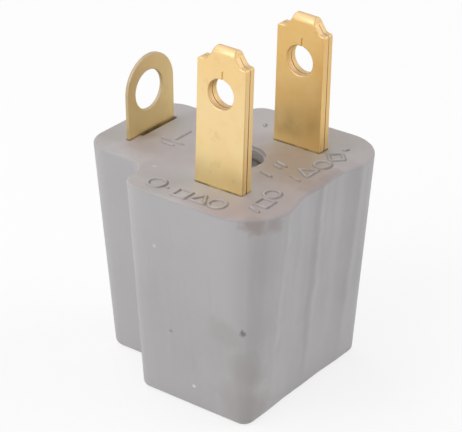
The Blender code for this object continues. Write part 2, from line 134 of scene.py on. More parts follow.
# Ground contact: barrel and ring tab from one sheet
GROUND_PIN_OFFSET = 11.9 * MM
BARREL_BORE = 4.6 * MM
BARREL_LENGTH = 11.0 * MM
BARREL_MOUTH = 5.0 * MM
BARREL_MOUTH_DEPTH = 1.2 * MM
BARREL_SPLIT = math.radians(50)
TAB_THICKNESS = 0.4 * MM
BARREL_RADIUS = BARREL_BORE / 2 + TAB_THICKNESS
TAB_FRONT = GROUND_PIN_OFFSET + BARREL_BORE / 2 + 0.2 * MM
TAB_BACK = TAB_FRONT + TAB_THICKNESS
TAB_WIDTH = 7.6 * MM
TAB_HEIGHT = 8.65 * MM
TAB_HOLE_HEIGHT = 4.7 * MM
TAB_HOLE_SHIFT = -0.3 * MM
TAB_HOLE_DIAMETER = 4.4 * MM
TAB_SLOT_FIT = 0.06 * MM
TAB_GAP = 0.4 * MM
TAB_GAP_START = -2.0 * MM
TAB_GAP_END = 3.9 * MM
TAB_EDGE = 0.08 * MM
NECK_STRIP_WIDTH = 3.4 * MM
NECK_STRIP_TAPER = 3.0 * MM
NECK_STRIP_OVERLAP = 3.0 * MM

# Rivet and its recesses
RIVET_OFFSET = 3.1 * MM
RIVET_DIAMETER = 3.0 * MM
RIVET_BORE = 1.8 * MM
RIVET_HEAD_DIAMETER = 5.2 * MM
RIVET_TAIL_DIAMETER = 4.0 * MM
RIVET_HEAD_THICKNESS = 0.6 * MM
RIVET_SINK_BLADE_FACE = 2.0 * MM
RIVET_SINK_SOCKET_FACE = 1.2 * MM
SINK_MOUTH_DIAMETER = 6.2 * MM
SINK_MOUTH_DEPTH = 0.4 * MM

# Socket openings
BLADE_PITCH = 12.7 * MM
SLOT_WIDTH = 2.2 * MM
NEUTRAL_SLOT_LENGTH = 7.9 * MM
HOT_SLOT_LENGTH = 7.0 * MM
GROUND_HOLE_WIDTH = 5.3 * MM
LEAD_IN = 0.4 * MM
SLOT_RADIUS = 0.3 * MM

# Raised marks on the blade face: plain signs, no lettering
STROKE_WIDTH = 0.62 * MM
STROKE_HEIGHT = 0.17 * MM
STROKE_SINK = 0.03 * MM
STROKE_TAPER = 0.30 * MM
STROKE_STEPS = 8
LINE_STEPS = 12

# Fineness of the curves
ARC_STEPS = 14
SIDE_LEVELS = 14
ROUNDING_STEPS = 5
HOLE_STEPS = 72
FOLD_STEPS = 20
MARK_ARC_STEPS = 28
BEVEL_STEPS = 3
BEVELLED_ANGLE = math.radians(40)
SMOOTHED_ANGLE = math.radians(35)
SMOOTHED_MARK_ANGLE = math.radians(60)
SMALLEST_TURN = 1e-6
SMALLEST_RADIUS = 0.05 * MM
CUT_MARGIN = 1.0 * MM
MERGE_DISTANCE = 0.0001 * MM

# Camera, fitted to the photograph
CAMERA_TARGET = Vector((0.177, 3.931, 17.607)) * MM
CAMERA_DISTANCE = 207.47 * MM
CAMERA_AZIMUTH = math.radians(-52.506)
CAMERA_ELEVATION = math.radians(27.622)
CAMERA_ROLL = math.radians(-0.309)
CAMERA_LENS = 152.26
CAMERA_SENSOR = 36.0


# Meshes

def add_object(name, bm, material=None):
    """Turns a closed bmesh into an object with outward faces."""
    bmesh.ops.remove_doubles(bm, verts=bm.verts, dist=MERGE_DISTANCE)
    bmesh.ops.recalc_face_normals(bm, faces=bm.faces)
    mesh = bpy.data.meshes.new(name)
    bm.to_mesh(mesh)
    bm.free()
    obj = bpy.data.objects.new(name, mesh)
    bpy.context.scene.collection.objects.link(obj)
    if material:
        mesh.materials.append(material)
    return obj


def bake(obj):
    """Turns what the modifiers make of an object into its own mesh."""
    graph = bpy.context.evaluated_depsgraph_get()
    mesh = bpy.data.meshes.new_from_object(obj.evaluated_get(graph))
    obj.modifiers.clear()
    obj.data = mesh


def carve(target, tools, operation="DIFFERENCE"):
    """Cuts tools out of a target, or keeps or adds what they hold, and removes them."""
    for tool in tools:
        modifier = target.modifiers.new(tool.name, "BOOLEAN")
        modifier.operation = operation
        modifier.object = tool
    bake(target)
    for tool in tools:
        bpy.data.objects.remove(tool, do_unlink=True)


def soften(obj, width, chosen=None):
    """Rounds the stamped edges of a piece, all of them or those whose middle is chosen."""
    bm = bmesh.new()
    bm.from_mesh(obj.data)
    edges = [edge for edge in bm.edges if edge.calc_face_angle(0.0) > BEVELLED_ANGLE]
    if chosen:
        edges = [edge for edge in edges if chosen((edge.verts[0].co + edge.verts[1].co) / 2)]
    bmesh.ops.bevel(bm, geom=edges, offset=width, segments=BEVEL_STEPS, profile=0.5, affect="EDGES")
    bm.to_mesh(obj.data)
    bm.free()


def smooth(obj, angle=SMOOTHED_ANGLE):
    """Shades a piece smooth, with flat stretches kept flat and sharp edges sharp."""
    obj.data.shade_smooth()
    obj.data.set_sharp_from_angle(angle=angle)
    normals = obj.modifiers.new("flat_stretches", "WEIGHTED_NORMAL")
    normals.keep_sharp = True


def corner_arc(before, corner, after, radius, steps):
    """Points of the arc that rounds one corner of an outline, on either side of the outline's turn."""
    incoming = (corner - before).normalized()
    outgoing = (after - corner).normalized()
    turn = math.atan2(incoming.cross(outgoing), incoming.dot(outgoing))
    if abs(turn) < SMALLEST_TURN:
        return [corner.copy()]
    start = corner - incoming * (radius * math.tan(abs(turn) / 2))
    side = Vector((-incoming.y, incoming.x)) * math.copysign(radius, turn)
    centre = start + side
    arm = -side
    points = []
    for step in range(steps + 1):
        angle = turn * step / steps
        points.append(centre + Vector((arm.x * math.cos(angle) - arm.y * math.sin(angle),
                                       arm.x * math.sin(angle) + arm.y * math.cos(angle))))
    return points


def inset_corners(corners, inset):
    """Moves a counterclockwise outline's (x, y, radius) corners inward, so that its arcs stay parallel.

    A corner whose radius is 0 stays sharp.
    """
    places = [Vector((x, y)) for x, y, _ in corners]
    moved = []
    for i, corner in enumerate(places):
        incoming = (corner - places[i - 1]).normalized()
        outgoing = (places[(i + 1) % len(places)] - corner).normalized()
        inward = Vector((-incoming.y, incoming.x)) + Vector((-outgoing.y, outgoing.x))
        place = corner + inward * (inset / (1 + incoming.dot(outgoing)))
        radius = corners[i][2]
        if radius:
            convex = incoming.cross(outgoing) > 0
            radius = max(radius - inset if convex else radius + inset, SMALLEST_RADIUS)
        moved.append((place.x, place.y, radius))
    return moved


def rounded_outline(corners, inset=0.0, steps=ARC_STEPS):
    """Points of a closed outline of corners, moved inward by an inset, its corners rounded."""
    moved = inset_corners(corners, inset)
    places = [Vector((x, y)) for x, y, _ in moved]
    points = []
    for i, (_, _, radius) in enumerate(moved):
        if radius:
            points += corner_arc(places[i - 1], places[i], places[(i + 1) % len(places)], radius, steps)
        else:
            points.append(places[i])
    return points


def rectangle(half_x, half_y, centre_x, centre_y, radius):
    """Corners of a rectangle, counterclockwise."""
    signs = ((-1, -1), (1, -1), (1, 1), (-1, 1))
    return [(centre_x + sx * half_x, centre_y + sy * half_y, radius) for sx, sy in signs]


def circle(radius, centre_x, centre_y):
    """Points of a circle, counterclockwise."""
    angles = [2 * math.pi * i / HOLE_STEPS for i in range(HOLE_STEPS)]
    return [Vector((centre_x + radius * math.cos(a), centre_y + radius * math.sin(a))) for a in angles]


def loft(rings, closed=False, bm=None):
    """Joins rings of equally many 3-D points into one solid: flat ends, or the last ring to the first."""
    if bm is None:
        bm = bmesh.new()
    loops = [[bm.verts.new(point) for point in ring] for ring in rings]
    count = len(loops[0])
    pairs = list(zip(loops, loops[1:]))
    if closed:
        pairs.append((loops[-1], loops[0]))
    for lower, upper in pairs:
        for i in range(count):
            j = (i + 1) % count
            bm.faces.new((lower[i], lower[j], upper[j], upper[i]))
    if not closed:
        bm.faces.new(list(reversed(loops[0])))
        bm.faces.new(loops[-1])
    return bm


def at_height(outline, z):
    """A flat outline's points at a height."""
    return [Vector((p.x, p.y, z)) for p in outline]


def prism_up(outline, bottom, top):
    """Extrudes an outline in XY along Z."""
    return loft([at_height(outline, z) for z in (bottom, top)])


def prism_across(outline, low, high):
    """Extrudes an outline in XZ along Y."""
    return loft([[Vector((p.x, y, p.y)) for p in outline] for y in (low, high)])


def prism_sideways(outline, low, high):
    """Extrudes an outline in YZ along X."""
    return loft([[Vector((x, p.x, p.y)) for p in outline] for x in (low, high)])


def revolve(profile, axis_y, start=0.0, sweep=2 * math.pi):
    """Turns a closed (radius, z) profile about an upright axis at x = 0, all the way or with flat ends."""
    closed = abs(sweep) > 2 * math.pi - SMALLEST_TURN
    angles = [start + sweep * i / HOLE_STEPS for i in range(HOLE_STEPS if closed else HOLE_STEPS + 1)]
    rings = [[Vector((r * math.cos(a), axis_y + r * math.sin(a), z)) for r, z in profile] for a in angles]
    return loft(rings, closed)


def revolved_plug(profile, axis_y):
    """A solid of revolution about an upright axis at x = 0, from an open (radius, z) profile."""
    levels = [(max(radius, SMALLEST_RADIUS), z) for radius, z in profile]
    return loft([at_height(circle(radius, 0.0, axis_y), z) for radius, z in levels])


def quarter_round(radius):
    """Pairs of (depth below a face, inset from the outline) of the rounding between the two."""
    angles = [math.pi / 2 * i / ROUNDING_STEPS for i in range(ROUNDING_STEPS + 1)]
    return [(radius * (1 - math.cos(a)), radius * (1 - math.sin(a))) for a in angles]


def stack(corners, levels):
    """Lofts one outline through levels of (height, inset)."""
    return loft([at_height(rounded_outline(corners, inset), z) for z, inset in levels])


def opening_down(corners, floor, face, rounding):
    """A cutter that comes from above, with a rounded mouth at the face."""
    mouth = [(face - depth, -inset) for depth, inset in reversed(quarter_round(rounding))]
    return stack(corners, [(floor, 0.0)] + mouth + [(face + CUT_MARGIN, -rounding)])


def opening_up(corners, ceiling, rounding):
    """A cutter that comes from below the socket face, with a rounded mouth there."""
    mouth = [(depth, -inset) for depth, inset in quarter_round(rounding)]
    return stack(corners, [(-CUT_MARGIN, -rounding)] + mouth + [(ceiling, 0.0)])


# Body

def body_corners(height):
    """The body's outline at a height, as corners: fluted front, step on each side, narrower nose."""
    def drafted(size):
        """A size at this height."""
        socket_end, blade_end = size
        return socket_end + (blade_end - socket_end) * height / BODY_HEIGHT

    half_width, front, flute = drafted(HALF_WIDTH), drafted(FRONT), drafted(FLUTE_DEPTH)
    step, nose, nose_half_width = drafted(STEP), drafted(NOSE), drafted(NOSE_HALF_WIDTH)
    front_radius, step_radius, nose_radius = drafted(FRONT_RADIUS), drafted(STEP_RADIUS), drafted(NOSE_RADIUS)
    ridge = RIDGE_HEIGHT * flute / FLUTE_DEPTH[1]
    right = [(FLUTE_FLOOR, flute - front, FLUTE_FLOOR_RADIUS),
             (FLUTE_EDGE, -front, FLUTE_EDGE_RADIUS),
             (half_width, -front, front_radius),
             (half_width, step, step_radius),
             (nose_half_width, step, step_radius),
             (nose_half_width, nose, nose_radius)]
    left = [(-x, y, radius) for x, y, radius in reversed(right)]
    return [(0.0, flute - front - ridge, RIDGE_RADIUS)] + right + left


def body_solid():
    """Lofts the drafted body, with its two end edges rounded."""
    side = BODY_HEIGHT - BLADE_FACE_EDGE - SOCKET_FACE_EDGE
    levels = quarter_round(SOCKET_FACE_EDGE)
    levels += [(SOCKET_FACE_EDGE + side * i / SIDE_LEVELS, 0.0) for i in range(1, SIDE_LEVELS)]
    levels += [(BODY_HEIGHT - depth, inset) for depth, inset in reversed(quarter_round(BLADE_FACE_EDGE))]
    return loft([at_height(rounded_outline(body_corners(z), inset), z) for z, inset in levels])


def body_cutters():
    """Cover seat, pockets, blade and tab slots, rivet bore and its stepped recess."""
    cutters = []

    def add(bm):
        cutters.append(add_object("body_cutter_%d" % len(cutters), bm))

    add(opening_up(inset_corners(body_corners(0.0), RIM_WALL), LEDGE_HEIGHT, MOUTH_ROUNDING))
    for node, spread in (("near_blade_contact", NEAR_LEAF_SPREAD), ("far_blade_contact", FAR_LEAF_SPREAD)):
        low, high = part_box(node)
        centre = (low + high) / 2
        pocket = rectangle(SPRING_SPREAD / 2 + CLEARANCE, SPRING_WIDTH / 2 + CLEARANCE,
                           centre.x, centre.y, POCKET_RADIUS)
        add(prism_up(rounded_outline(pocket), -CUT_MARGIN, POCKET_CEILING))
        slot = rectangle((BLADE_THICKNESS + spread) / 2 + SLOT_FIT, BLADE_WIDTH / 2 + SLOT_FIT,
                         centre.x + spread / 2, centre.y, LEAF_EDGE + SLOT_FIT)
        add(opening_down(slot, POCKET_CEILING - CUT_MARGIN, BODY_HEIGHT, SLOT_FIT))

    barrel_pocket = circle(BARREL_RADIUS + CLEARANCE, 0.0, GROUND_PIN_OFFSET)
    add(prism_up(barrel_pocket, -CUT_MARGIN, LEDGE_HEIGHT + BARREL_LENGTH + CLEARANCE))
    tab_slot = rectangle(TAB_WIDTH / 2 + TAB_SLOT_FIT, TAB_THICKNESS / 2 + TAB_SLOT_FIT,
                         0.0, (TAB_FRONT + TAB_BACK) / 2, TAB_SLOT_FIT)
    add(opening_down(tab_slot, -CUT_MARGIN, BODY_HEIGHT, TAB_SLOT_FIT / 2))
    tab_gap = rectangle((TAB_GAP_END - TAB_GAP_START) / 2, (TAB_GAP + TAB_THICKNESS) / 2,
                        (TAB_GAP_END + TAB_GAP_START) / 2, (TAB_BACK + TAB_FRONT - TAB_GAP) / 2, TAB_GAP / 3)
    add(opening_down(tab_gap, -CUT_MARGIN, BODY_HEIGHT, TAB_SLOT_FIT))

    bore = circle(RIVET_DIAMETER / 2 + CLEARANCE, 0.0, RIVET_OFFSET)
    add(prism_up(bore, -CUT_MARGIN, BODY_HEIGHT + CUT_MARGIN))
    sink = circle(RIVET_HEAD_DIAMETER / 2 + CLEARANCE, 0.0, RIVET_OFFSET)
    add(prism_up(sink, BODY_HEIGHT - RIVET_SINK_BLADE_FACE, BODY_HEIGHT + CUT_MARGIN))
    mouth = SINK_MOUTH_DIAMETER / 2
    profile = [(0.0, BODY_HEIGHT - SINK_MOUTH_DEPTH), (mouth, BODY_HEIGHT - SINK_MOUTH_DEPTH)]
    for depth, inset in reversed(quarter_round(MOUTH_ROUNDING)):
        profile.append((mouth + inset, BODY_HEIGHT - depth))
    profile += [(mouth + MOUTH_ROUNDING, BODY_HEIGHT + CUT_MARGIN), (0.0, BODY_HEIGHT + CUT_MARGIN)]
    add(revolved_plug(profile, RIVET_OFFSET))
    return cutters


def body(material):
    """The grey moulding, hollowed for the cover, the contacts and the rivet."""
    shell = add_object("moulded_body", body_solid(), material)
    carve(shell, body_cutters())
    smooth(shell)
    return shell


def cover(material):
    """The plate let into the socket end, with its two slots, ground hole and rivet recess."""
    corners = inset_corners(body_corners(0.0), RIM_WALL + COVER_FIT)
    solid = stack(corners, quarter_round(MOUTH_ROUNDING) + [(COVER_THICKNESS, 0.0)])
    plate = add_object("socket_plate", solid, material)
    cutters = []
    for name, sign, length in (("neutral", -1, NEUTRAL_SLOT_LENGTH), ("hot", 1, HOT_SLOT_LENGTH)):
        slot = rectangle(SLOT_WIDTH / 2, length / 2, sign * BLADE_PITCH / 2, 0.0, SLOT_RADIUS)
        cutters.append(add_object(name + "_slot", opening_up(slot, COVER_THICKNESS + CUT_MARGIN, LEAD_IN)))
    half = GROUND_HOLE_WIDTH / 2
    flat = GROUND_PIN_OFFSET - half
    top = GROUND_PIN_OFFSET + half
    hole = [(-half, flat, SLOT_RADIUS), (half, flat, SLOT_RADIUS), (half, top, half), (-half, top, half)]
    cutters.append(add_object("ground_opening", opening_up(hole, COVER_THICKNESS + CUT_MARGIN, LEAD_IN)))
    bore = circle(RIVET_DIAMETER / 2 + CLEARANCE, 0.0, RIVET_OFFSET)
    cutters.append(add_object("bore", prism_up(bore, -CUT_MARGIN, COVER_THICKNESS + CUT_MARGIN)))
    sink = RIVET_TAIL_DIAMETER / 2 + CLEARANCE
    profile = [(sink + MOUTH_ROUNDING, -CUT_MARGIN)]
    profile += [(sink + inset, depth) for depth, inset in quarter_round(MOUTH_ROUNDING)]
    profile.append((sink, RIVET_SINK_SOCKET_FACE))
    cutters.append(add_object("sink", revolved_plug(profile, RIVET_OFFSET)))
    carve(plate, cutters)
    smooth(plate)
    return plate


# Blade contacts

def smooth_path(places):
    """Points of an open path with its inner corners rounded, from (x, z, radius) places."""
    vectors = [Vector((x, z)) for x, z, _ in places]
    points = [vectors[0]]
    for i in range(1, len(places) - 1):
        points += corner_arc(vectors[i - 1], vectors[i], vectors[i + 1], places[i][2], ARC_STEPS)
    return points + [vectors[-1]]


def ribbon(path, thickness):
    """Outline of a strip of even thickness that follows an open path."""
    left = []
    right = []
    for i, point in enumerate(path):
        before = path[max(i - 1, 0)]
        after = path[min(i + 1, len(path) - 1)]
        along = (after - before).normalized()
        side = Vector((-along.y, along.x)) * thickness / 2
        left.append(point + side)
        right.append(point - side)
    return left + right[::-1]


def folded_strip_path(foot):
    """Centre line of the folded strip, from one spring mouth over the fold to the other."""
    leaf = (LEAF_GAP + LEAF_THICKNESS) / 2
    spread = (SPRING_SPREAD - LEAF_THICKNESS) / 2
    grip = (SPRING_GRIP + LEAF_THICKNESS) / 2
    fold_centre = CONTACT_LENGTH - BLADE_THICKNESS / 2
    rising = smooth_path([(spread, 0.0, 0.0),
                          (grip, GRIP_HEIGHT, GRIP_RADIUS),
                          (spread, BOW_HEIGHT, BOW_RADIUS),
                          (leaf, SPRING_LENGTH - ROOT_DEPTH, ROOT_RADIUS),
                          (leaf, foot, 0.0),
                          (leaf, fold_centre, 0.0)])
    angles = [math.pi * i / FOLD_STEPS for i in range(1, FOLD_STEPS)]
    fold = [Vector((leaf * math.cos(a), fold_centre + leaf * math.sin(a))) for a in angles]
    falling = [Vector((-p.x, p.y)) for p in reversed(rising)]
    return rising + fold + falling


def blade_outline():
    """The stamped outline seen from the side: springs, blade, shoulders and tapering, rounded neck."""
    shoulder = CONTACT_LENGTH - NECK_HEIGHT
    waist = CONTACT_LENGTH - NECK_WAIST_BELOW_TIP
    top = CONTACT_LENGTH + SMALLEST_RADIUS
    sides = []
    for side in (0.5, -0.5):
        sides.append([(side * SPRING_WIDTH, -CUT_MARGIN, 0.0),
                      (side * SPRING_WIDTH, SPRING_LENGTH, SHOULDER_RADIUS),
                      (side * BLADE_WIDTH, SPRING_LENGTH, SHOULDER_RADIUS),
                      (side * BLADE_WIDTH, shoulder, SHOULDER_RADIUS),
                      (side * NECK_FOOT_WIDTH + NECK_SHIFT, shoulder, NECK_RADIUS),
                      (side * NECK_WAIST_WIDTH + NECK_SHIFT, waist, NECK_WAIST_RADIUS),
                      (side * NECK_TOP_WIDTH + NECK_SHIFT, top, NECK_TOP_RADIUS)])
    return rounded_outline(sides[0] + sides[1][::-1])


def groove_outline(hole_top):
    """A short pressed mark with a pointed top, in YZ."""
    half = GROOVE_WIDTH / 2
    low = hole_top - half
    high = hole_top + GROOVE_HEIGHT
    corners = [(GROOVE_SIDE - half, low), (GROOVE_SIDE + half, low), (GROOVE_SIDE + half, high - half),
               (GROOVE_SIDE, high), (GROOVE_SIDE - half, high - half)]
    return [Vector(corner) for corner in corners]


def bent(point, foot, lean, spread):
    """Where a point of an upright blade goes: one side stretched, then sloped sideways above the foot.

    The rear leaf stands off by the spread at the foot, and less with the distance from it.
    """
    toward_x, toward_y, tilt = lean
    reach = BLADE_REACH if point.z > foot else foot - SPRING_LENGTH
    away = spread * max(1 - abs(point.z - foot) / reach, 0.0) if point.x > 0 else 0.0
    rise = max(point.z - foot, 0.0) * (1 + tilt * point.y / BLADE_REACH)
    return Vector((point.x + away + toward_x * rise, point.y + toward_y * rise, min(point.z, foot) + rise))


def on_outside(place):
    """Whether a place of the folded strip above the springs is on its outer skin."""
    middle = (LEAF_GAP + LEAF_THICKNESS) / 2
    across = Vector((place.x, max(place.z - (CONTACT_LENGTH - BLADE_THICKNESS / 2), 0.0)))
    return place.z > SPRING_LENGTH and across.length > middle


def blade(name, node, lean, spread, material):
    """One brass strip, folded at the tip, drilled, with rounded edges, in the place of its CAD node."""
    low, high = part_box(node)
    foot = BODY_HEIGHT - low.z
    half_width = SPRING_WIDTH / 2 + CUT_MARGIN
    strip = prism_across(ribbon(folded_strip_path(foot), LEAF_THICKNESS), -half_width, half_width)
    piece = add_object(name, strip, material)
    reach = SPRING_SPREAD
    carve(piece, [add_object("stamp", prism_sideways(blade_outline(), -reach, reach))], "INTERSECT")
    hole_height = CONTACT_LENGTH - BLADE_HOLE_BELOW_TIP
    hole = circle(BLADE_HOLE_DIAMETER / 2, 0.0, hole_height)
    carve(piece, [add_object("drill", prism_sideways(hole, -reach, reach))])
    soften(piece, LEAF_EDGE, on_outside)
    groove = groove_outline(hole_height + BLADE_HOLE_DIAMETER / 2)
    face = BLADE_THICKNESS / 2
    front = add_object("front_groove", prism_sideways(groove, -face - CUT_MARGIN, -face + GROOVE_DEPTH))
    back = add_object("back_groove", prism_sideways(groove, face - GROOVE_DEPTH, face + CUT_MARGIN))
    carve(piece, [front, back])
    place = Vector(((low.x + high.x) / 2, (low.y + high.y) / 2, low.z))
    for vertex in piece.data.vertices:
        vertex.co = bent(vertex.co, foot, lean, spread) + place
    smooth(piece)
    return piece


# Ground contact

def ground_sheet_outline():
    """The flat of the ground contact: a narrow neck off the barrel, widening into the round-topped tab."""
    barrel_top = LEDGE_HEIGHT + BARREL_LENGTH
    neck = NECK_STRIP_WIDTH / 2
    tab = TAB_WIDTH / 2
    corners = [(neck, barrel_top - NECK_STRIP_OVERLAP, 0.0),
               (neck, barrel_top, NECK_RADIUS),
               (tab, barrel_top + NECK_STRIP_TAPER, NECK_RADIUS),
               (tab, BODY_HEIGHT + TAB_HEIGHT, tab)]
    corners += [(-x, z, radius) for x, z, radius in reversed(corners)]
    return rounded_outline(corners, steps=2 * ARC_STEPS)


def ground_barrel():
    """The rolled barrel that grips the ground pin, split along the side that faces the blades."""
    bore = BARREL_BORE / 2
    mouth = BARREL_MOUTH / 2
    top = LEDGE_HEIGHT + BARREL_LENGTH
    profile = [(mouth, LEDGE_HEIGHT), (BARREL_RADIUS, LEDGE_HEIGHT), (BARREL_RADIUS, top), (bore, top),
               (bore, LEDGE_HEIGHT + BARREL_MOUTH_DEPTH)]
    start = -math.pi / 2 + BARREL_SPLIT / 2
    return revolve(profile, GROUND_PIN_OFFSET, start, 2 * math.pi - BARREL_SPLIT)


def ring_tab(material):
    """One brass sheet: ring tab, neck, and a barrel rolled from its lower end."""
    tab = add_object("ring_tab", prism_across(ground_sheet_outline(), TAB_FRONT, TAB_BACK), material)
    hole = circle(TAB_HOLE_DIAMETER / 2, TAB_HOLE_SHIFT, BODY_HEIGHT + TAB_HOLE_HEIGHT)
    carve(tab, [add_object("tab_drill", prism_across(hole, TAB_FRONT - CUT_MARGIN, TAB_BACK + CUT_MARGIN))])
    soften(tab, TAB_EDGE)
    carve(tab, [add_object("barrel", ground_barrel())], "UNION")
    smooth(tab)
    return tab


def rivet(material):
    """The tubular rivet, its flanges rolled round at both ends."""
    bore = RIVET_BORE / 2
    shank = RIVET_DIAMETER / 2
    head = RIVET_HEAD_DIAMETER / 2
    tail = RIVET_TAIL_DIAMETER / 2
    lower_seat = RIVET_SINK_SOCKET_FACE - CLEARANCE
    upper_seat = BODY_HEIGHT - RIVET_SINK_BLADE_FACE + CLEARANCE
    bottom = lower_seat - RIVET_HEAD_THICKNESS
    top = upper_seat + RIVET_HEAD_THICKNESS
    rolled = quarter_round(RIVET_HEAD_THICKNESS / 2)
    profile = [(bore + inset, bottom + depth) for depth, inset in reversed(rolled)]
    profile += [(tail - inset, bottom + depth) for depth, inset in rolled]
    profile += [(tail, lower_seat), (shank, lower_seat), (shank, upper_seat), (head, upper_seat)]
    profile += [(head - inset, top - depth) for depth, inset in reversed(rolled)]
    profile += [(bore + inset, top - depth) for depth, inset in rolled]
    piece = add_object("tubular_rivet", revolve(profile, RIVET_OFFSET), material)
    smooth(piece)
    return piece


# Raised marks

def ring_path(centre_x, centre_y, radius):
    """Points of a circle, its sizes in millimetres."""
    angles = [math.radians(360.0 * i / MARK_ARC_STEPS) for i in range(MARK_ARC_STEPS + 1)]
    return [Vector((centre_x + radius * math.cos(a), centre_y + radius * math.sin(a))) * MM for a in angles]


def line(*places):
    """A polyline through places in millimetres, with points close enough to follow."""
    points = [Vector(places[0]) * MM]
    for start, end in zip(places, places[1:]):
        for i in range(1, LINE_STEPS + 1):
            points.append(Vector(start).lerp(Vector(end), i / LINE_STEPS) * MM)
    return points


def polygon(centre_x, centre_y, radius, sides, turn=0.0):
    """A regular polygon, its corners at a radius in millimetres, the first one at a turn in degrees."""
    angles = [math.radians(turn) + 2 * math.pi * i / sides for i in range(sides + 1)]
    return line(*[(centre_x + radius * math.cos(a), centre_y + radius * math.sin(a)) for a in angles])


def stroke(bm, path):
    """Adds a low, soft bead that follows a path on the blade face, tapering at open ends."""
    closed = (path[0] - path[-1]).length < MERGE_DISTANCE
    points = path[:-1] if closed else path
    last = len(points) - 1
    rings = []
    for i, point in enumerate(points):
        before = points[i - 1] if i or closed else point
        after = points[(i + 1) % len(points)] if i < last or closed else point
        along = (after - before).normalized()
        end = min((point - points[0]).length, (point - points[last]).length)
        size = 1.0 if closed else math.sqrt(min(max(end / STROKE_TAPER, 0.05), 1.0))
        side = Vector((-along.y, along.x)) * STROKE_WIDTH / 2 * size
        ring = []
        for step in range(STROKE_STEPS + 1):
            across = 1 - 2 * step / STROKE_STEPS
            lift = STROKE_HEIGHT * size * (1 + math.cos(math.pi * across)) / 2
            lift -= STROKE_SINK if step in (0, STROKE_STEPS) else 0.0
            place = point + side * across
            ring.append(Vector((place.x, place.y, BODY_HEIGHT + lift)))
        rings.append(ring)
    loft(rings, closed, bm)


def face_marks(material):
    """Plain raised signs where the moulding has its marks: an earth sign, rings, polygons, bars."""
    earth = [line((-0.9, 10.6), (2.0, 10.6)), line((-1.2, 9.0), (-1.2, 12.2)),
             line((-2.0, 9.7), (-2.0, 11.5))]
    rings = [ring_path(-9.8, 5.7, 0.95), ring_path(-9.9, -2.1, 0.9), ring_path(-4.9, -5.2, 0.85),
             ring_path(3.6, -5.4, 0.85)]
    bars = [line((-10.0, 3.9), (-10.0, 4.3)), line((-8.9, -6.6), (-8.4, -4.9)),
            line((-0.9, -5.8), (-0.4, -4.0)), line((7.6, -5.0), (7.85, -5.3), (8.3, -5.6)),
            line((1.45, -1.0), (0.95, -2.8)), line((0.70, -1.2), (0.30, -2.6)),
            line((-1.4, -1.1), (-1.8, -2.9)), line((7.5, 4.9), (8.3, 5.4))]
    polygons = [polygon(-10.2, 2.1, 1.1, 4, 45), polygon(-10.2, -0.1, 1.1, 3),
                polygon(-6.9, -5.7, 1.1, 4, 45), polygon(1.3, -5.2, 1.15, 3, 90),
                polygon(5.9, -5.5, 1.05, 4)]
    beads = bmesh.new()
    for path in earth + rings + bars + polygons:
        stroke(beads, path)
    marks = add_object("face_marks", beads, material)
    smooth(marks, SMOOTHED_MARK_ANGLE)
    return marks


# Materials

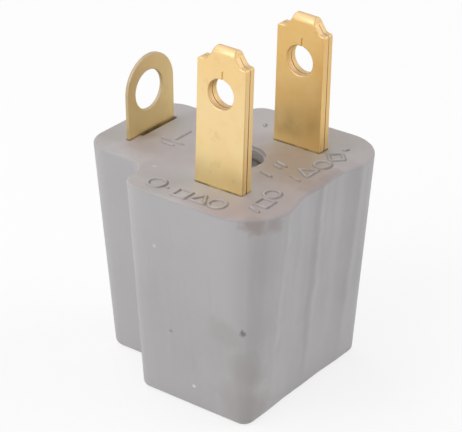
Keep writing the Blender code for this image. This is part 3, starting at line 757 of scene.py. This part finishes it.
class Nodes:
    """Short calls for building one material's nodes."""

    def __init__(self, name):
        self.material = bpy.data.materials.new(name)
        self.material.use_nodes = True
        self.tree = self.material.node_tree
        self.shader = self.tree.nodes["Principled BSDF"]
        coordinates = self.tree.nodes.new("ShaderNodeTexCoord")
        self.place = coordinates.outputs["Object"]
        self.normal = coordinates.outputs["Normal"]

    def link(self, source, target):
        """Joins an output to an input."""
        self.tree.links.new(source, target)

    def stretched(self, scale):
        """Object coordinates scaled along each axis."""
        node = self.tree.nodes.new("ShaderNodeMapping")
        node.inputs["Scale"].default_value = scale
        self.link(self.place, node.inputs["Vector"])
        return node.outputs["Vector"]

    def noise(self, size, detail=3.0, roughness=0.5, vector=None):
        """Noise with features of about a size in metres."""
        node = self.tree.nodes.new("ShaderNodeTexNoise")
        node.inputs["Scale"].default_value = 1 / size
        node.inputs["Detail"].default_value = detail
        node.inputs["Roughness"].default_value = roughness
        self.link(vector or self.place, node.inputs["Vector"])
        return node.outputs["Fac"]

    def ramp(self, value, low, high, start=0.0, end=1.0):
        """Maps a value from low..high to start..end, clamped."""
        node = self.tree.nodes.new("ShaderNodeMapRange")
        for socket, number in (("From Min", low), ("From Max", high), ("To Min", start), ("To Max", end)):
            node.inputs[socket].default_value = number
        self.link(value, node.inputs["Value"])
        return node.outputs["Result"]

    def clouds(self, size, detail, low, high, start=0.0, end=1.0):
        """Soft blotches of about a size: noise mapped from low..high to start..end."""
        return self.ramp(self.noise(size, detail), low, high, start, end)

    def math(self, operation, a, b=0.0):
        """The result of an operation on sockets or numbers."""
        node = self.tree.nodes.new("ShaderNodeMath")
        node.operation = operation
        for socket, value in zip(node.inputs, (a, b)):
            if isinstance(value, (int, float)):
                socket.default_value = value
            else:
                self.link(value, socket)
        return node.outputs["Value"]

    def product(self, first, *others):
        """The product of sockets and numbers."""
        for other in others:
            first = self.math("MULTIPLY", first, other)
        return first

    def mix(self, factor, a, b):
        """Mixes two colours, each a tuple or a socket."""
        node = self.tree.nodes.new("ShaderNodeMix")
        node.data_type = "RGBA"
        self.link(factor, node.inputs["Factor"])
        for socket, value in ((node.inputs[6], a), (node.inputs[7], b)):
            if isinstance(value, tuple):
                socket.default_value = (*value, 1.0)
            else:
                self.link(value, socket)
        return node.outputs[2]

    def axis(self, name):
        """One object coordinate."""
        node = self.tree.nodes.new("ShaderNodeSeparateXYZ")
        self.link(self.place, node.inputs["Vector"])
        return node.outputs[name]

    def zone(self, **ends):
        """1 past the second end named for each axis, and 0 before the first."""
        share = None
        for axis, (start, full) in ends.items():
            part = self.ramp(self.axis(axis), start * MM, full * MM)
            share = self.product(share, part) if share else part
        return share

    def vector(self, operation, source, *constants):
        """The outputs of a vector operation on a socket and constants."""
        node = self.tree.nodes.new("ShaderNodeVectorMath")
        node.operation = operation
        self.link(source, node.inputs[0])
        for socket, value in zip(node.inputs[1:], constants):
            socket.default_value = value
        return node.outputs

    def from_axis(self, x, y):
        """Distance from an upright axis."""
        flat = self.vector("MULTIPLY_ADD", self.place, (1.0, 1.0, 0.0), (-x, -y, 0.0))
        return self.vector("LENGTH", flat["Vector"])["Value"]

    def facing(self, direction):
        """How squarely the surface faces a direction: 1 straight at it, 0 sideways."""
        return self.vector("DOT_PRODUCT", self.normal, direction)["Value"]

    def spot(self, centre, radius):
        """1 at a place on the surface, falling to 0 at a radius, with a ragged edge."""
        wobble = self.clouds(radius * 0.8, 2.0, 0.3, 0.7, 0.65, 1.35)
        distance = self.product(self.vector("DISTANCE", self.place, centre)["Value"], wobble)
        return self.ramp(distance, radius * 0.35, radius, 1.0, 0.0)

    def bump(self, height, strength, distance, below=None):
        """The surface's normal over a height, on top of the bumps below."""
        node = self.tree.nodes.new("ShaderNodeBump")
        node.inputs["Strength"].default_value = strength
        node.inputs["Distance"].default_value = distance
        self.link(height, node.inputs["Height"])
        if below:
            self.link(below, node.inputs["Normal"])
        return node.outputs["Normal"]


# Colours of the moulding: its mottle, what streaks it, what wear and dirt make of it, and painted light and
# shade
PLASTIC = ((0.385, 0.376, 0.378), (0.435, 0.424, 0.427))
PLASTIC_BAND = (0.35, 0.342, 0.345)
PLASTIC_GRIME = (0.30, 0.285, 0.28)
PLASTIC_TINT = (0.425, 0.400, 0.412)
PALE_PLASTIC = (0.50, 0.49, 0.49)
SHADED_CORNER_PLASTIC = (0.31, 0.30, 0.295)
FLUTE_SHADE_PLASTIC = (0.30, 0.29, 0.29)
BROWN_PLASTIC = (0.372, 0.315, 0.316)
RECESS_SHADE = (0.38, 0.35, 0.345)
RIM_SHADE = (0.30, 0.25, 0.25)
MARK_FOOT_SHADE = (0.27, 0.245, 0.235)
MARK_CREST = (0.50, 0.485, 0.48)
MARK_SHADE = (0.20, 0.175, 0.17)

# Directions of the front corner, painted darker as shade, and of the marks' shaded slopes
FRONT_CORNER = (-0.63, -0.777, 0.0)
SHADED_SIDE = (0.30, -0.95, 0.0)

# Stretches of the sides painted paler as painted light: where each starts and is full in millimetres,
# strength
LIT_SIDE_STRETCHES = [
    ({"X": (-8.5, -10.0), "Z": (8, 23)}, 0.40),
    ({"X": (-8.5, -10.0), "Z": (8, 2)}, 0.30),
    ({"X": (-4.5, -5.5), "Y": (9.3, 10.0)}, 0.50),
    ({"X": (-9.5, -10.0), "Y": (5.8, 7.4)}, 0.40),
    ({"Y": (-5, -6), "Z": (11, 2)}, 0.60)
]

# Painted shade and highlight bands along the flutes: place and half width in millimetres, strength, colour
FLUTE_LIGHT_AND_SHADE = [
    (-0.50, 0.8, 0.36, FLUTE_SHADE_PLASTIC),
    (0.55, 0.6, 0.35, PALE_PLASTIC),
    (5.8, 0.9, 0.16, FLUTE_SHADE_PLASTIC),
    (-6.4, 0.5, 0.40, PALE_PLASTIC),
    (6.8, 0.7, 0.25, PALE_PLASTIC),
    (3.6, 1.0, 0.40, PALE_PLASTIC),
    (-2.6, 1.0, 0.30, PALE_PLASTIC)
]

# Stains of the blade face, with painted shade along the front rim and by the ring tab's gap: place and radius
# in millimetres, strength, colour
FACE_STAINS = [
    ((-3.9, 12.0), 3.2, 0.75, BROWN_PLASTIC),
    ((-10.4, -2.8), 4.5, 0.95, BROWN_PLASTIC),
    ((-7.5, -7.2), 5.5, 0.80, BROWN_PLASTIC),
    ((-2.0, -6.8), 5.0, 0.80, BROWN_PLASTIC),
    ((1.8, -2.4), 6.0, 0.90, (0.335, 0.268, 0.215)),
    # Painted shade on the face beside the gap at the ring tab's foot
    ((-1.5, 13.8), 1.6, 0.45, (0.24, 0.20, 0.17)),
    # Painted shade on the rounded front rim inside the flutes
    ((-1.4, -7.5), 1.5, 0.70, RIM_SHADE),
    ((0.8, -7.6), 1.5, 0.70, RIM_SHADE),
    ((2.9, -7.7), 1.4, 0.60, RIM_SHADE)
]

# Small marks of use on the body: place and radius in millimetres, colour
SURFACE_SPOTS = [
    ((-10.49, -5.70, 11.63), 0.45, (0.20, 0.19, 0.19)),
    ((-10.75, 3.51, 8.79), 0.30, (0.28, 0.27, 0.27)),
    ((-10.34, 0.88, 2.81), 0.28, (0.75, 0.72, 0.70)),
    ((-11.42, 4.96, 18.69), 0.26, (0.62, 0.60, 0.59)),
    ((-6.89, 8.35, 25.0), 0.35, (0.50, 0.44, 0.43)),
    ((-0.25, 0.00, 25.0), 0.25, (0.75, 0.72, 0.70)),
    ((-10.95, -3.40, 11.00), 2.20, (0.388, 0.372, 0.368)),
    ((-10.35, -7.10, 24.50), 1.50, (0.345, 0.300, 0.293)),
    ((-8.70, -8.10, 24.20), 1.30, (0.365, 0.328, 0.325)),
    ((-9.80, -5.50, 2.20), 3.60, (0.382, 0.358, 0.355)),
    ((-10.20, -5.70, 6.80), 2.80, (0.385, 0.362, 0.360))
]


def moulded_plastic(name, worn_and_shaded=True):
    """Warm grey, satin-matte thermoplastic: mottled, streaked top to bottom, with or without its wear, stains
    and painted light and shade.
    """
    n = Nodes(name)
    colour = n.mix(n.clouds(6 * MM, 4.0, 0.3, 0.7), *PLASTIC)
    bands = n.noise(2.2 * MM, 3.0, 0.55, n.stretched((1.0, 1.0, 0.05)))
    colour = n.mix(n.ramp(bands, 0.50, 0.72, 0.0, 0.22), colour, PLASTIC_BAND)
    streaks = n.noise(0.9 * MM, 3.0, 0.6, n.stretched((1.0, 1.0, 0.06)))
    colour = n.mix(n.ramp(streaks, 0.35, 0.8, 0.0, 0.25), colour, PALE_PLASTIC)
    grime = n.noise(0.35 * MM, 4.0, 0.65)
    colour = n.mix(n.ramp(grime, 0.55, 0.8, 0.0, 0.30), colour, PLASTIC_GRIME)
    colour = n.mix(n.clouds(7 * MM, 2.0, 0.42, 0.62, 0.0, 0.6), colour, PLASTIC_TINT)
    if worn_and_shaded:
        colour = side_light_and_shade(n, colour)
        colour = face_stains_and_shade(n, colour)
        for centre, radius, tone in SURFACE_SPOTS:
            place = tuple(c * MM for c in centre)
            colour = n.mix(n.spot(place, radius * MM), colour, tone)
    n.link(colour, n.shader.inputs["Base Color"])
    n.link(n.clouds(1.5 * MM, 4.0, 0.3, 0.7, 0.44, 0.60), n.shader.inputs["Roughness"])
    normal = n.bump(n.noise(3.0 * MM, 2.0), 0.35, 0.05 * MM)
    normal = n.bump(streaks, 0.25, 0.02 * MM, normal)
    grain = n.noise(0.12 * MM, 3.0, 0.6)
    n.link(n.bump(grain, 0.30, 0.006 * MM, normal), n.shader.inputs["Normal"])
    return n.material


def side_light_and_shade(n, colour):
    """Painted light and shade of the sides: paler stretches, a darker front corner, dark and pale bands along
    the flutes.
    """
    # Painted light: paler stretches of the sides
    for ends, strength in LIT_SIDE_STRETCHES:
        colour = n.mix(n.product(n.zone(**ends), strength), colour, PALE_PLASTIC)
    # Painted shade on surfaces facing the front corner, in upright patches
    corner = n.ramp(n.facing(FRONT_CORNER), 0.955, 0.995, 0.0, 0.32)
    corner_shade_patches = n.ramp(n.noise(2.5 * MM, 3.0, 0.5, n.stretched((1.0, 1.0, 0.2))), 0.35, 0.6)
    colour = n.mix(n.product(corner, corner_shade_patches), colour, SHADED_CORNER_PLASTIC)
    # Painted shade and highlight along the flutes, weaker towards the socket end
    share = n.product(n.zone(Y=(-5, -6)), n.ramp(n.axis("Z"), 1 * MM, 9 * MM, 0.25, 1.0))
    wobble = n.clouds(2.5 * MM, 2.0, 0.3, 0.7, -0.25 * MM, 0.25 * MM)
    across = n.math("ADD", n.axis("X"), wobble)
    for place, width, strength, tone in FLUTE_LIGHT_AND_SHADE:
        distance = n.math("ABSOLUTE", n.math("SUBTRACT", across, place * MM))
        band = n.ramp(distance, 0.2 * width * MM, width * MM, strength, 0.0)
        colour = n.mix(n.product(band, share), colour, tone)
    return colour


def face_stains_and_shade(n, colour):
    """The blade face's brown cast, partly painted brass reflection, its stains, painted shade at the rim, the
    marks' feet and slopes and in the recess, and paler crests, partly painted highlight.
    """
    height = n.axis("Z")
    face = n.ramp(height, BODY_HEIGHT - 0.35 * MM, BODY_HEIGHT)
    # A brown cast over the blade face in clouds: partly the plastic's tint, partly painted reflected light
    # from the brass
    colour = n.mix(n.product(face, n.clouds(5 * MM, 3.0, 0.35, 0.65, 0.15, 0.45)), colour, BROWN_PLASTIC)
    for (x, y), radius, strength, tone in FACE_STAINS:
        stain = n.spot((x * MM, y * MM, BODY_HEIGHT), radius * MM)
        colour = n.mix(n.product(face, stain, strength), colour, tone)
    # Painted shade in the crease at the marks' feet, in clouds
    foot = n.ramp(height, BODY_HEIGHT, BODY_HEIGHT + 0.04 * MM)
    colour = n.mix(n.product(foot, n.clouds(2.5 * MM, 3.0, 0.35, 0.65, 0.4, 0.9)), colour, MARK_FOOT_SHADE)
    # Paler crests of the marks: partly rubbed, partly a painted highlight on their tops
    crest = n.ramp(height, BODY_HEIGHT + 0.07 * MM, BODY_HEIGHT + 0.15 * MM)
    colour = n.mix(n.product(crest, n.clouds(1.8 * MM, 3.0, 0.35, 0.65, 0.2, 0.9)), colour, MARK_CREST)
    above = n.ramp(height, BODY_HEIGHT, BODY_HEIGHT + 0.02 * MM)
    front = n.ramp(n.axis("Y"), 9 * MM, 6 * MM, 0.35, 1.0)
    shaded = n.product(n.ramp(n.facing(SHADED_SIDE), 0.12, 0.45), above, front)
    colour = n.mix(n.product(shaded, n.clouds(1.4 * MM, 3.0, 0.35, 0.6, 0.35, 1.0)), colour, MARK_SHADE)
    # Painted shade inside the rivet recess, below its mouth
    mouth = SINK_MOUTH_DIAMETER / 2
    inside = n.ramp(n.from_axis(0.0, RIVET_OFFSET), mouth, mouth - 0.1 * MM)
    below = n.ramp(height, BODY_HEIGHT - 0.1 * MM, BODY_HEIGHT - SINK_MOUTH_DEPTH - 0.3 * MM)
    return n.mix(n.product(inside, below), colour, RECESS_SHADE)


# Colours of the brass: the near blade's upper end, paler low down as painted reflection of the grey face,
# browner stains, a painted shade line at the foot
WARM_TIP = (0.92, 0.66, 0.315)
FOOT_REFLECTION_BRASS = (1.0, 0.80, 0.39)
BROWN_BRASS = (0.60, 0.38, 0.15)
FOOT_SHADE_BRASS = (0.22, 0.15, 0.07)


def rolled_brass(name, stained, shine, faces, bright, deep, edge, up_facing_shade):
    """Rolled brass: lengthwise lines, cloudy shine, browner stains, paler low down as painted reflection,
    duller edges, painted shade on top.

    The sheet's faces look along one direction, what looks up gets painted shade, and the rest is a cut edge.
    """
    n = Nodes(name)
    height = n.axis("Z")
    clouds = n.clouds(4.5 * MM, 3.0, 0.3, 0.7, -0.35, 0.35)
    # Deeper brass towards the far blade and in clouds, brighter towards the near one
    near_to_far = n.math("ADD", n.ramp(n.axis("X"), -6.0 * MM, 6.0 * MM), clouds)
    tip = n.ramp(height, BODY_HEIGHT + 9 * MM, BODY_HEIGHT + 13 * MM)
    colour = n.mix(n.ramp(near_to_far, 0.0, 1.0), n.mix(tip, bright, WARM_TIP), deep)
    # Paler, brighter brass low down: painted reflection of the grey face and painted light against the body's
    # shade
    foot = n.ramp(height, BODY_HEIGHT + 7 * MM, BODY_HEIGHT, 0.0, 0.8)
    colour = n.mix(n.product(foot, n.ramp(near_to_far, 0.0, 1.0, 1.0, 0.6)), colour, FOOT_REFLECTION_BRASS)
    stains = n.noise(1.6 * MM, 5.0, 0.6)
    colour = n.mix(n.ramp(stains, 0.58, 0.78, 0.0, stained), colour, BROWN_BRASS)
    cut = n.ramp(n.math("ABSOLUTE", n.facing(faces)), 0.8, 0.4, 0.0, 0.6)
    colour = n.mix(cut, colour, edge)
    # Painted shade on what looks up, the fold's top and the shoulders, dimming their reflection
    colour = n.mix(n.ramp(n.facing((0.0, 0.0, 1.0)), 0.1, 0.6), colour, up_facing_shade)
    # Painted shade in a thin line where the brass meets the blade face
    foot_shade = n.ramp(height, BODY_HEIGHT + 0.22 * MM, BODY_HEIGHT + 0.02 * MM, 0.0, 0.85)
    colour = n.mix(n.product(foot_shade, n.clouds(2.2 * MM, 2.0, 0.4, 0.6, 0.35, 1.0)), colour, FOOT_SHADE_BRASS)
    n.link(colour, n.shader.inputs["Base Color"])
    n.shader.inputs["Metallic"].default_value = 1.0
    lines = n.noise(0.10 * MM, 3.0, 0.6, n.stretched((1.0, 1.0, 0.03)))
    rough = n.math("ADD", n.clouds(2.0 * MM, 3.0, 0.3, 0.7, shine, shine + 0.10), n.product(cut, 0.2))
    fine = n.ramp(lines, 0.3, 0.7, -0.03, 0.05)
    n.link(n.math("ADD", rough, fine), n.shader.inputs["Roughness"])
    dents = n.bump(n.noise(2.5 * MM, 2.0), 0.5, 0.03 * MM)
    n.link(n.bump(lines, 0.25, 0.004 * MM, dents), n.shader.inputs["Normal"])
    return n.material


def plated_steel(name):
    """Dull plated steel, darkly mottled."""
    n = Nodes(name)
    colour = n.mix(n.clouds(0.6 * MM, 4.0, 0.3, 0.7), (0.11, 0.10, 0.095), (0.19, 0.175, 0.165))
    n.link(colour, n.shader.inputs["Base Color"])
    n.shader.inputs["Metallic"].default_value = 1.0
    n.link(n.clouds(0.3 * MM, 3.0, 0.3, 0.7, 0.38, 0.55), n.shader.inputs["Roughness"])
    n.link(n.bump(n.noise(0.15 * MM), 0.3, 0.01 * MM), n.shader.inputs["Normal"])
    return n.material


# Stage

FLOOR_SIZE = 3.0
FLOOR_COLOUR = (0.95, 0.95, 0.95, 1.0)
FLOOR_GLOW_SHARE = 0.75
WORLD_LIGHT = 0.42
WHITE = (1.0, 1.0, 1.0, 1.0)

# Softboxes: distance and size, then the azimuth and elevation in degrees and the level of each
SOFTBOX_DISTANCE = 0.6
SOFTBOX_SIZE = 0.5
SOFTBOXES = {"left_softbox": (-110, 40, 0.42),
             "right_softbox": (40, 35, 0.33),
             "back_softbox": (170, 60, 0.28)}


def sees_background(tree):
    """1 for camera, glossy and transmission rays."""
    path = tree.nodes.new("ShaderNodeLightPath")
    seen = path.outputs["Is Camera Ray"]
    for kind in ("Is Glossy Ray", "Is Transmission Ray"):
        either = tree.nodes.new("ShaderNodeMath")
        either.operation = "MAXIMUM"
        tree.links.new(seen, either.inputs[0])
        tree.links.new(path.outputs[kind], either.inputs[1])
        seen = either.outputs["Value"]
    return seen


def white_light(tree, kind, strength):
    """The output of a white emission or background node."""
    node = tree.nodes.new(kind)
    node.inputs["Color"].default_value = WHITE
    node.inputs["Strength"].default_value = strength
    return node.outputs[0]


def mixed_to(tree, output, share, plain, seen):
    """Sends a mix of two shaders to a new output node."""
    mixed = tree.nodes.new("ShaderNodeMixShader")
    for socket, source in zip(mixed.inputs, (share, plain, seen)):
        tree.links.new(source, socket)
    tree.links.new(mixed.outputs["Shader"], tree.nodes.new(output).inputs["Surface"])


def floor():
    """A white floor that keeps a soft shadow."""
    bm = bmesh.new()
    bmesh.ops.create_grid(bm, x_segments=1, y_segments=1, size=FLOOR_SIZE / 2)
    material = bpy.data.materials.new("white_floor")
    ground = add_object("floor", bm, material)
    material.use_nodes = True
    tree = material.node_tree
    tree.nodes.clear()
    matte = tree.nodes.new("ShaderNodeBsdfDiffuse")
    matte.inputs["Color"].default_value = FLOOR_COLOUR
    glow = white_light(tree, "ShaderNodeEmission", 1.0)
    share = tree.nodes.new("ShaderNodeMath")
    share.operation = "MULTIPLY"
    share.inputs[1].default_value = FLOOR_GLOW_SHARE
    tree.links.new(sees_background(tree), share.inputs[0])
    mixed_to(tree, "ShaderNodeOutputMaterial", share.outputs["Value"], matte.outputs["BSDF"], glow)


def world():
    """White to the camera and in reflections, and an even soft light otherwise."""
    studio = bpy.data.worlds.new("studio")
    bpy.context.scene.world = studio
    studio.use_nodes = True
    tree = studio.node_tree
    tree.nodes.clear()
    light = white_light(tree, "ShaderNodeBackground", WORLD_LIGHT)
    seen = white_light(tree, "ShaderNodeBackground", 1.0)
    mixed_to(tree, "ShaderNodeOutputWorld", sees_background(tree), light, seen)


def softbox(name, azimuth, elevation, level):
    """A square area lamp aimed at the object, its level a share of plain daylight on a facing surface."""
    a = math.radians(azimuth)
    e = math.radians(elevation)
    direction = Vector((math.sin(a) * math.cos(e), -math.cos(a) * math.cos(e), math.sin(e)))
    data = bpy.data.lights.new(name, "AREA")
    data.size = SOFTBOX_SIZE
    data.energy = level * math.pi ** 2 * SOFTBOX_DISTANCE ** 2
    lamp = bpy.data.objects.new(name, data)
    lamp.location = CAMERA_TARGET + direction * SOFTBOX_DISTANCE
    lamp.rotation_mode = "QUATERNION"
    lamp.rotation_quaternion = direction.to_track_quat("Z", "Y")
    bpy.context.scene.collection.objects.link(lamp)


def camera():
    """The photograph's viewpoint: azimuth about Z, elevation, then a slight roll."""
    data = bpy.data.cameras.new("photo_camera")
    data.sensor_width = CAMERA_SENSOR
    data.lens = CAMERA_LENS
    data.clip_start = 0.01
    data.clip_end = 10.0
    turn = (Matrix.Rotation(CAMERA_AZIMUTH, 4, "Z") @ Matrix.Rotation(math.pi / 2 - CAMERA_ELEVATION, 4, "X")
            @ Matrix.Rotation(CAMERA_ROLL, 4, "Z"))
    viewer = bpy.data.objects.new("photo_camera", data)
    viewer.matrix_world = Matrix.Translation(CAMERA_TARGET + turn.col[2].xyz * CAMERA_DISTANCE) @ turn
    bpy.context.scene.collection.objects.link(viewer)
    bpy.context.scene.camera = viewer
    bpy.context.scene.view_settings.view_transform = "Standard"


# Assembly

def dress():
    """Builds each piece over its CAD node."""
    housing_plastic = moulded_plastic("housing_plastic")
    cover_plastic = moulded_plastic("cover_plastic", worn_and_shaded=False)
    blade_brass = rolled_brass("blade_brass", stained=0.35, shine=0.36, faces=(1.0, 0.0, 0.0),
                               bright=(0.92, 0.70, 0.37), deep=(0.81, 0.54, 0.21),
                               edge=(0.72, 0.50, 0.23), up_facing_shade=(0.60, 0.43, 0.23))
    ground_brass = rolled_brass("ground_brass", stained=0.40, shine=0.40, faces=(0.0, 1.0, 0.0),
                                bright=(0.63, 0.475, 0.245), deep=(0.66, 0.49, 0.24),
                                edge=(0.45, 0.38, 0.27), up_facing_shade=(0.40, 0.33, 0.24))
    rivet_steel = plated_steel("rivet_steel")
    near = blade("near_blade", "near_blade_contact", NEAR_BLADE_LEAN, NEAR_LEAF_SPREAD, blade_brass)
    far = blade("far_blade", "far_blade_contact", FAR_BLADE_LEAN, FAR_LEAF_SPREAD, blade_brass)
    dressed = ((body(housing_plastic), "housing_plastic", "housing"),
               (cover(cover_plastic), "cover_plastic", "socket_cover"),
               (near, "blade_brass", "near_blade_contact"),
               (far, "blade_brass", "far_blade_contact"),
               (ring_tab(ground_brass), "ground_brass", "ground_contact"),
               (rivet(rivet_steel), "rivet_steel", "cover_rivet"))
    for piece, slot, node in dressed:
        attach(piece, "root")
        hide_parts(node)
    marks = face_marks(housing_plastic)
    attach(marks, "root")


camera()
floor()
world()
for lamp_name, aim_and_level in SOFTBOXES.items():
    softbox(lamp_name, *aim_and_level)
dress()
